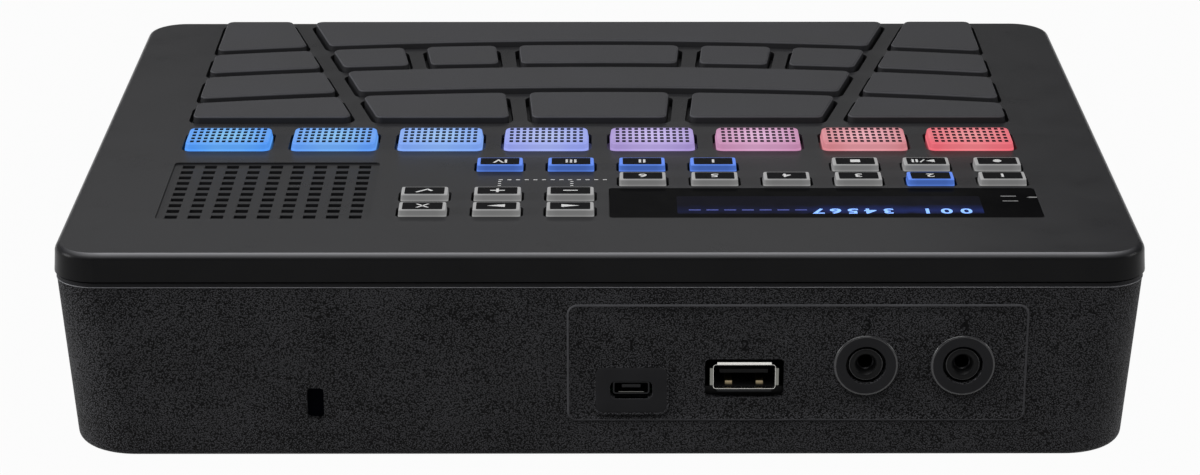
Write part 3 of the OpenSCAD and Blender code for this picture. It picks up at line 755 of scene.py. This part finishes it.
def sign(name, text, size, material, body, at, z=0.0, stretch=1.0, bold=0.0, upright=False):
    """Plain characters centred on at: on a face at height z, or upright on the rear wall."""
    curve = bpy.data.curves.new(name, "FONT")
    curve.body = text
    curve.size = size * MM
    curve.extrude = TEXT_RISE * MM
    curve.offset = bold * MM
    curve.resolution_u = 4
    curve.align_x = "CENTER"
    curve.align_y = "CENTER"
    draft = add(f"{name}_draft", curve)
    bpy.context.view_layer.update()
    mesh = bpy.data.meshes.new_from_object(draft.evaluated_get(bpy.context.evaluated_depsgraph_get()))
    bpy.data.objects.remove(draft)
    bpy.data.curves.remove(curve)
    low = [min(v.co[k] for v in mesh.vertices) for k in range(2)]
    high = [max(v.co[k] for v in mesh.vertices) for k in range(2)]
    middle = [(a + b) / 2 for a, b in zip(low, high)]
    for v in mesh.vertices:
        x = (v.co[0] - middle[0]) * stretch
        y = v.co[1] - middle[1]
        if upright:
            place = on_wall(at[0] + x / MM, at[1] + y / MM, v.co[2] / MM)
            v.co = [c * MM for c in place]
        else:
            v.co = (at[0] * MM + x, at[1] * MM + y, z * MM + v.co[2])
    mesh.name = name
    obj = add(name, mesh)
    dress(obj, material)
    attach(obj, body)


def marks(name, shapes, material, body, z, rise):
    """Flat printed shapes, each a list of points, on a face at height z."""
    solid = Solid()
    for shape in shapes:
        solid.stack([flat(shape, z - MARK_ROOT), flat(shape, z + rise)])
    make(name, solid, material, body)


# ---------------------------------------------------------------- buttons

# As in the part's source
BUTTON_W = 10.5
BUTTON_D = 5.5
BUTTON_R = 0.6
BUTTON_X0 = -90.3
BUTTON_Y0 = 30.8
BUTTON_PITCH = 16.125
BUTTON_ROW_PITCH = 10.4
BUTTON_FLANGE = 1.0
BUTTON_TRAVEL = 0.5
BUTTONS = [
    (0, 0), (1, 0), (2, 0), (4, 0), (5, 0), (6, 0), (7, 0),
    (0, 1), (1, 1), (2, 1), (3, 1), (4, 1), (5, 1),
    (6, 2), (7, 2), (8, 2),
    (6, 3), (7, 3), (8, 3),
]

BUTTON_EDGE_R = 0.25
BUTTON_DRAFT = 0.12
CAP_DROP = 0.06
LABEL_SIZE = (8.8, 4.6)
LABEL_R = 0.25
LABEL_Y = 0.1
LABEL_ROOT = 0.1
LABEL_BEVEL = 0.02
LABEL_RISE = 0.03
SIGN_SIZE = 3.1
SIGN_RISE = 0.03
BLUE_BUTTONS = (4, 5, 6, 7, 9)
BUTTON_TEXT = {4: "I", 5: "II", 6: "III", 7: "IV", 8: "1", 9: "2", 10: "3", 11: "4", 12: "5", 13: "6"}
MINUS = bar(-1.6, 1.6, -0.25, 0.25)
BUTTON_SIGNS = {
    # record, play and pause, stop
    1: [circle(0.95, 24)],
    2: [[(-1.9, -1.0), (0.1, 0.0), (-1.9, 1.0)], [(0.2, -1.0), (0.6, -1.0), (1.6, 1.0), (1.2, 1.0)],
        bar(1.9, 2.4, -1, 1), bar(2.8, 3.3, -1, 1)],
    3: [bar(-1.1, 1.1, -0.9, 0.9)],
    # minus, plus, tick
    14: [MINUS],
    15: [MINUS, bar(-0.3, 0.3, 0.25, 1.2), bar(-0.3, 0.3, -1.2, -0.25)],
    16: [[(-1.9, 0.1), (-0.7, -1.2), (-0.5, -0.6), (-1.4, 0.5)],
         [(-0.7, -1.2), (2.0, 1.0), (1.6, 1.3), (-0.7, -0.55)]],
    # arrows to the left and the right, cross
    17: [[(1.9, -0.9), (1.9, 0.9), (-2.0, 0.0)]],
    18: [[(-1.9, -0.9), (2.0, 0.0), (-1.9, 0.9)]],
    19: [[(-1.5, -1.2), (-1.0, -1.2), (1.5, 1.2), (1.0, 1.2)],
         [(1.0, -1.2), (1.5, -1.2), (-1.0, 1.2), (-1.5, 1.2)]],
}

for number, (column, row) in enumerate(BUTTONS, 1):
    name = f"button_{number}"
    centre = (BUTTON_X0 + column * BUTTON_PITCH, BUTTON_Y0 + row * BUTTON_ROW_PITCH)
    material, slot = (CAP_BLUE, "button_blue") if number in BLUE_BUTTONS else (CAP_GREY, "button_grey")
    top = BUTTON_TOP - CAP_DROP
    outline = rounded_rect(BUTTON_W, BUTTON_D, BUTTON_R, centre=centre)
    flange = rounded_rect(BUTTON_W + 2 * BUTTON_FLANGE, BUTTON_D + 2 * BUTTON_FLANGE, BUTTON_R,
                          centre=centre)
    solid = cap(outline, flange, BUTTON_TRAVEL, top, BUTTON_EDGE_R, BUTTON_DRAFT)
    piece = make(f"{name}_cap", solid, material, name)
    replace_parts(piece, name)
    at = (centre[0], centre[1] + LABEL_Y)
    plate = rounded_rect(*LABEL_SIZE, LABEL_R, steps=2, centre=at)
    label = Solid().stack([flat(plate, top - LABEL_ROOT), flat(plate, top + LABEL_BEVEL),
                           flat(inset(plate, LABEL_BEVEL), top + LABEL_RISE)])
    make(f"{name}_label", label, LABEL, name)
    if number in BUTTON_TEXT:
        sign(f"{name}_sign", BUTTON_TEXT[number], SIGN_SIZE, PRINT_WHITE, name, at,
             z=top + LABEL_BEVEL, stretch=1.25, bold=0.06)
    else:
        shapes = [moved(shape, at) for shape in BUTTON_SIGNS[number]]
        marks(f"{name}_sign", shapes, PRINT_WHITE, name, top + LABEL_RISE, SIGN_RISE)


# ---------------------------------------------------------------- display and printed marks

WINDOW_TOP = 49.9
APERTURE = (67, 12)
APERTURE_AT = (-50.5, 57.2)
APERTURE_R = 0.6
PANEL_RISE = 0.01
PRINT_RISE = 0.02
TICK_RISE = 0.03
DIGITS = "001 34567"
DIGIT_XS = [-80.2, -75.9, -71.7, -67.0, -63.2, -59.2, -55.4, -51.6, -47.8]
DIGIT_Y = 61.4
DIGIT_SIZE = 4.4
DASH = bar(-1.3, 1.3, 60.2, 60.9)
DASH_XS = [-20.8 - 3.88 * k for k in range(7)]
TICKS = [bar(-92.2, -88.8, 51.1, 51.5), bar(-92.3, -88.9, 54.4, 54.8),
         [(-97.0, 51.7), (-95.2, 51.7), (-94.5, 52.05), (-95.2, 52.4), (-97.0, 52.4)]]

# A dotted line in front of the minus and plus buttons, with a branch up to each
LINE_DOT = bar(-0.45, 0.45, 39.7, 40.1)
LINE_XS = [22.2 - 1.95 * k for k in range(13)]
BRANCH_DOT = bar(-0.35, 0.35, -0.18, 0.18)
BRANCH_XS = (22.4, 6.2)
BRANCH_YS = (41.2, 42.6, 44.0)

dress(nodes["display_window"], WINDOW)
aperture = rounded_rect(*APERTURE, APERTURE_R, steps=2, centre=APERTURE_AT)
panel = Solid().stack([flat(aperture, WINDOW_TOP - MARK_ROOT), flat(aperture, WINDOW_TOP + PANEL_RISE)])
make("display_panel_glow", panel, PANEL, HOUSING)
for k, (x, digit) in enumerate(zip(DIGIT_XS, DIGITS), 1):
    if digit != " ":
        sign(f"display_digit_{k}", digit, DIGIT_SIZE, DIGIT_LIT, HOUSING, (x, DIGIT_Y),
             z=WINDOW_TOP + PANEL_RISE, stretch=1.2, bold=0.1)
dashes = [moved(DASH, (x, 0)) for x in DASH_XS]
marks("display_dashes", dashes, DASH_LIT, HOUSING, WINDOW_TOP, PRINT_RISE)
marks("window_ticks", TICKS, PRINT_GREY, HOUSING, WINDOW_TOP, TICK_RISE)
leaders = [moved(LINE_DOT, (x, 0)) for x in LINE_XS]
leaders += [moved(BRANCH_DOT, (x, y)) for x in BRANCH_XS for y in BRANCH_YS]
marks("leader_dots", leaders, PRINT_WHITE, HOUSING, FACE_Z, PRINT_RISE)


# ---------------------------------------------------------------- rear wall

# The panel round the sockets, on the wall as the camera sees it. It looks slightly raised: its
# skins, as pairs of inset and lift, are steep outside and fade out inwards.
SOCKET_PANEL = rounded_rect(98.2, 27.2, 2.2, steps=8, centre=(42.05, 25.05))
PANEL_SKIN = [(0.0, -0.05), (0.35, 0.25), (0.5, 0.25), (2.0, -0.05)]
PANEL_EDGE_SKIN = [(-0.05, -0.05), (0.1, 0.16), (0.35, 0.28), (0.45, 0.25), (0.3, -0.05)]


def panel_strip(name, skin, material):
    loops = [[on_wall(u, v, lift) for u, v in inset(SOCKET_PANEL, d)] for d, lift in skin]
    make(name, Solid().stack(loops, ring=True), material, HOUSING, 30)


panel_strip("panel_outline", PANEL_SKIN, CASE)
# Its edge strip is pale, a painted highlight along the panel's outline
panel_strip("panel_edge", PANEL_EDGE_SKIN, PANEL_EDGE)

LIP_BEAD_Z = RIM_Z - LIP_H
LIP_BEAD_W = 0.24
LIP_BEAD_RISE = 0.13
LIP_BEAD_ROOT = 0.2


def lip_bead():
    """A fine bead right round the case, where the leather grain begins, pale as a painted highlight."""
    gap = wall_gap(LIP_BEAD_Z)
    outline = rounded_rect(2 * (HALF_W - gap), 2 * (HALF_D - gap), CORNER_R - RIM_INSET, 12)
    half_w = LIP_BEAD_W / 2
    loops = []
    for turn in (0, math.pi / 3, math.pi * 2 / 3, math.pi):
        proud = inset(outline, -LIP_BEAD_RISE * math.sin(turn))
        loops.append(flat(proud, LIP_BEAD_Z + half_w * math.cos(turn)))
    inner = inset(outline, LIP_BEAD_ROOT)
    loops += [flat(inner, LIP_BEAD_Z - half_w), flat(inner, LIP_BEAD_Z + half_w)]
    make("lip_bead", Solid().stack(loops, ring=True), LIP, HOUSING, 80)


lip_bead()

ROUND_STEPS = 64
JACKS = [(-56.8, 24.55), (-77.5, 24.55)]
JACK_BLOCK_HALF = 6.0
JACK_BLOCK_Z = 23.9
JACK_BLOCK_TOP = 0.2
JACK_BLOCK_Y = (72.8, 85.8)

# Profiles of the jack sockets, as (radius, y)
NOSE = [(3.65, 85.8), (3.65, 88.1), (3.58, 88.24), (3.4, 88.3), (2.55, 88.3), (2.4, 88.22),
        (1.85, 87.3), (1.8, 87.1), (1.8, 73.8)]
BOSS_EDGE = [(6.35, 89.0), (6.4, 89.16), (6.58, 89.18), (6.85, 88.95), (7.0, 88.5),
             (7.0, 87.9), (6.35, 87.9)]
BOSS_FACE = [(4.3, 88.9), (4.3, 89.06), (4.4, 89.1), (6.4, 89.14), (6.4, 88.9)]
NOSE_EDGE = [(3.45, 88.2), (3.45, 88.33), (3.55, 88.33), (3.66, 88.2), (3.66, 88.0), (3.5, 88.0)]
SLEEVE = [(1.79, 86.4), (1.79, 80), (1.5, 80), (1.5, 86.2)]


def turned(centre, profile):
    """The loops of a shape turned round an axis along Y."""
    return [standing(circle(r, ROUND_STEPS, centre), y) for r, y in profile]


def jack_block(centre):
    """The block's outline, with one point for each point of the round nose."""
    outline = []
    for c, s in circle(1.0, ROUND_STEPS):
        k = JACK_BLOCK_HALF / max(abs(c), abs(s))
        outline.append((centre[0] + c * k, JACK_BLOCK_Z + s * k + (JACK_BLOCK_TOP if s > 0 else 0)))
    return outline


for k, centre in enumerate(JACKS, 1):
    block = [standing(jack_block(centre), y) for y in JACK_BLOCK_Y]
    solid = Solid().stack(block + turned(centre, NOSE))
    socket = make(f"jack_{k}", solid, BLACK, HOUSING, 50)
    if k == 1:
        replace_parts(socket, "jack_sockets")
    # The boss and nose edges are pale as a painted highlight, and the sleeves are nickel in painted
    # shade
    for part, profile, material, slot in [
        ("boss_edge", BOSS_EDGE, BEAD, "case"),
        ("boss_face", BOSS_FACE, SMOOTH_CASE, "case"),
        ("nose_edge", NOSE_EDGE, BEAD, "connector_plastic"),
        ("sleeve", SLEEVE, NICKEL_IN_SHADE, "connector_metal"),
    ]:
        solid = Solid().stack(turned(centre, profile), ring=True)
        make(f"jack_{k}_{part}", solid, material, HOUSING, 50)

# Centres of the other openings, as x and z
USB = (-30.9, 21.6)
MICRO = (-6.7, 19.15)
LOCK = (61.0, 15.4)


def blocks(name, centre, boxes, material):
    """A fixed piece of plain boxes behind the wall. A box is its low and high corner, with x and z
    from the centre."""
    solid = Solid()
    for low, high in boxes:
        solid.box((centre[0] + low[0], low[1], centre[1] + low[2]),
                  (centre[0] + high[0], high[1], centre[1] + high[2]))
    make(name, solid, material, HOUSING)


SHELL_SIZE = (13.5, 5.7)
SHELL_R = 0.7
SHELL_T = 0.22
SHELL_MOUTH_Y = 87.98
SHELL_DEPTH = 11.5
SHELL_BEVEL = (0.07, 0.12)


def usb_shell():
    """The wide socket's sheet-metal shell, open at both ends, with its mouth's edges rounded."""
    outer = rounded_rect(*SHELL_SIZE, SHELL_R, steps=5, centre=USB)
    inner = inset(outer, SHELL_T)
    bevel_y = SHELL_MOUTH_Y - SHELL_BEVEL[1]
    back_y = SHELL_MOUTH_Y - SHELL_DEPTH
    skin = [(outer, back_y), (outer, bevel_y), (inset(outer, SHELL_BEVEL[0]), SHELL_MOUTH_Y),
            (inset(outer, SHELL_T - SHELL_BEVEL[0]), SHELL_MOUTH_Y), (inner, bevel_y), (inner, back_y)]
    solid = Solid().stack([standing(outline, y) for outline, y in skin], ring=True)
    return make("usb_a_shell", solid, NICKEL, HOUSING, 40)


FLARE_MOUTH_Y = 87.95
FLARE_DEPTH = 0.9
FLARE_ROOT = 0.3


def flares(name, tabs, material):
    """Tabs of the wide socket's mouth, bent outwards. A tab is the two ends of its edge and its
    rise, in x and z from the socket's centre."""
    solid = Solid()
    for left, right, rise in tabs:
        back_y = FLARE_MOUTH_Y - FLARE_DEPTH
        corners = [(left, back_y, FLARE_ROOT), (right, back_y, FLARE_ROOT),
                   (right, FLARE_MOUTH_Y, 1.0), (left, FLARE_MOUTH_Y, 1.0)]
        inner = [(USB[0] + x, y, USB[1] + z) for (x, z), y, _ in corners]
        outer = [(x + share * rise[0], y, z + share * rise[1])
                 for (x, y, z), (_, _, share) in zip(inner, corners)]
        solid.stack([inner, outer])
    make(name, solid, material, HOUSING)


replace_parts(usb_shell(), "usb_a_port")
# The flares are one nickel sheet in three shades of painted light: lit above, a half shade at the
# sides, shade below
flares("usb_a_upper_flare", [((-5.8, 2.8), (5.8, 2.8), (0, 0.5))], NICKEL)
flares("usb_a_side_flares", [((6.75, -1.95), (6.75, 1.95), (0.6, 0)),
                             ((-6.75, -1.95), (-6.75, 1.95), (-0.6, 0))], NICKEL_HALF_SHADE)
flares("usb_a_lower_flare", [((-5.8, -2.8), (5.8, -2.8), (0, -0.6))], NICKEL_IN_SHADE)
blocks("usb_a_tongue", USB, [((-5.2, 76.5, -0.2), (5.2, 85.1, 0.65))], BLACK)
blocks("usb_a_lining", USB, [((-6.5, 76.5, -2.6), (6.5, 76.9, 2.6)),
                             ((-6.43, 76.9, -2.54), (6.43, 87.2, -2.44))], BLACK)
blocks("usb_a_springs", USB, [((-4.05, 82.2, -2.45), (-2.55, 86.4, -1.5)),
                              ((2.55, 82.2, -2.45), (4.05, 86.4, -1.5))], GOLD)
blocks("usb_a_foot", USB, [((-6.7, 74.0, -3.85), (6.7, 85.0, -2.75)),
                           ((-8.4, 84.6, -5.6), (8.4, 86.0, -2.9))], BLACK)

# The micro-USB shell is nickel in painted shade, and the strip at its lip nickel in a painted half
# shade
dress(nodes["micro_usb_port"], NICKEL_IN_SHADE)
blocks("micro_usb_tongue", MICRO, [((-1.95, 83.5, -0.3), (1.95, 86.9, 0.4))], BLACK)
blocks("micro_usb_edge", MICRO, [((-2.7, 87.95, -1.0), (2.7, 88.02, -0.9))], NICKEL_HALF_SHADE)

# The raised block round the micro-USB opening: its outer wall, its rounded face and its mouth
MICRO_BOSS = (16.1, 11.2)
MICRO_HOLE = (9, 3.8)
boss_centre = (MICRO[0], MICRO[1] - 0.3)
boss = rounded_rect(*MICRO_BOSS, 2, steps=8, centre=boss_centre)
mouth = rounded_rect(*MICRO_HOLE, 1, steps=8, centre=boss_centre)
boss_skin = [(boss, 87.6), (boss, 88.1), (inset(boss, 0.15), 88.5), (inset(boss, 0.45), 88.8),
             (inset(boss, 0.9), 88.9), (inset(mouth, -0.15), 88.9), (mouth, 88.75), (mouth, 87.6)]
solid = Solid().stack([standing(outline, y) for outline, y in boss_skin], ring=True)
make("micro_usb_boss", solid, SMOOTH_CASE, HOUSING, 30)

# Dark plate behind the security slot, which hides the main board: a painted shade inside the slot
blocks("lock_slot_shade", LOCK, [((-5.0, 84.9, -6.4), (5.0, 85.5, 6.6))], DOT)

# Places of the numbers over the sockets, on the wall as the camera sees it
SOCKET_NUMBERS = [(6.7, 29.2), (30.9, 29.2), (56.8, 33.9), (77.5, 33.9)]
SOCKET_NUMBER_SIZE = 3.6
for k, place in enumerate(SOCKET_NUMBERS, 1):
    sign(f"socket_number_{k}", str(k), SOCKET_NUMBER_SIZE, ETCHED, HOUSING, place,
         stretch=1.15, bold=0.05, upright=True)


# ---------------------------------------------------------------- the other CAD nodes

for node, material, slot in [
    ("top_cover", COVER, "cover"),
    ("bottom_case", CASE, "case"),
    ("display_module", MODULE, "display"),
    ("control_board", BOARD, "circuit_board"),
    ("main_board", BOARD, "circuit_board"),
    ("speaker_driver", PAPER, "speaker"),
    ("battery_pack", WRAP, "battery"),
    ("rubber_feet", SOFT_BLACK, "foot"),
    ("case_screws", STEEL, "screw"),
    ("volume_wheel", WHEEL, "wheel"),
    ("power_button", WHEEL, "power_key"),
]:
    dress(nodes[node], material)


# ---------------------------------------------------------------- stage, light and camera

world = bpy.data.worlds.new("studio")
bpy.context.scene.world = world
world.use_nodes = True
world.node_tree.nodes["Background"].inputs["Color"].default_value = grey(0.1)

# Radius and height of the floor and of the low wall that it sweeps up into. The floor lies just
# below the feet, so that no two faces share a height.
FLOOR_Z = -0.05
STAGE_PROFILE = [(5000, FLOOR_Z), (5300, 30), (5500, 110), (5600, 240), (5630, 420)]
STAGE_STEPS = 96

# Share of plain white in what the camera and reflections see of the stage
WHITE_SHARE = 0.97


def stage_material():
    """White to the camera and in reflections, and a mid grey that bounces little light."""
    s = Shader("stage_white")
    s.set(Base_Color=s.ramp(s.noise(400, 1), (0.0, srgb(70)), (1.0, srgb(74))))
    s.set(Roughness=0.9, Specular_IOR_Level=0.0)
    white = s.node("ShaderNodeEmission")
    white.inputs["Color"].default_value = grey(1)
    white.inputs["Strength"].default_value = 1.0
    path = s.node("ShaderNodeLightPath")
    seen = s.math("MAXIMUM", path.outputs["Is Camera Ray"], path.outputs["Is Glossy Ray"])
    seen = s.math("MAXIMUM", seen, path.outputs["Is Transmission Ray"])
    both = s.node("ShaderNodeMixShader")
    s.link(s.math("MULTIPLY", seen, WHITE_SHARE), both.inputs[0])
    s.link(s.body.outputs[0], both.inputs[1])
    s.link(white.outputs[0], both.inputs[2])
    s.link(both.outputs[0], s.output.inputs["Surface"])
    return s.material


def stage():
    """A round floor that sweeps up into a low wall."""
    n = STAGE_STEPS
    points = [(0.0, 0.0, FLOOR_Z)]
    faces = []
    for r, z in STAGE_PROFILE:
        points += flat(circle(r, n), z)
    for i in range(n):
        j = (i + 1) % n
        faces.append((0, 1 + i, 1 + j))
        for k in range(len(STAGE_PROFILE) - 1):
            a = 1 + k * n
            faces.append((a + i, a + n + i, a + n + j, a + j))
    mesh = bpy.data.meshes.new("stage_floor")
    mesh.from_pydata([[c * MM for c in p] for p in points], [], faces)
    mesh.materials.append(stage_material())
    mesh.shade_smooth()
    add("stage_floor", mesh)


stage()


def area_light(name, at, target, size, power):
    """A rectangular lamp at a point, facing another. Places are in metres and power is in watts."""
    lamp = bpy.data.lights.new(name, "AREA")
    lamp.shape = "RECTANGLE"
    lamp.size, lamp.size_y = size
    lamp.energy = power
    obj = add(name, lamp)
    obj.location = at
    obj.rotation_euler = (Vector(target) - Vector(at)).to_track_quat("-Z", "Y").to_euler()


area_light("overhead", at=(0.2, 0.35, 0.75), target=(0, 0, 0), size=(1.0, 0.3), power=4.1)
area_light("back_low", at=(0.18, -0.9, 0.47), target=(0, 0, 0.05), size=(0.8, 0.2), power=0.38)
area_light("front_fill", at=(0, -0.9, 0.95), target=(0, 0, 0.03), size=(1.0, 0.4), power=2.2)
area_light("left_side", at=(1.2, 0.15, 0.42), target=(0, 0, 0.03), size=(0.5, 0.4), power=7)
area_light("right_side", at=(-1.2, 0.15, 0.42), target=(0, 0, 0.03), size=(0.5, 0.4), power=4)

# The camera behind the machine: its pitch down in degrees and its turn aside in radians
CAMERA_AT = (0.00126, 0.7569, 0.2896)
CAMERA_PITCH = 19.462
CAMERA_TURN = 0.00191

camera = bpy.data.cameras.new("camera")
camera.sensor_width = 36
camera.lens = 100.95
camera.clip_start = 0.01
camera.clip_end = 20
holder = add("camera", camera)
holder.location = CAMERA_AT
holder.rotation_euler = (math.radians(90 - CAMERA_PITCH), 0, math.pi - CAMERA_TURN)
bpy.context.scene.camera = holder
bpy.context.scene.view_settings.view_transform = "Standard"
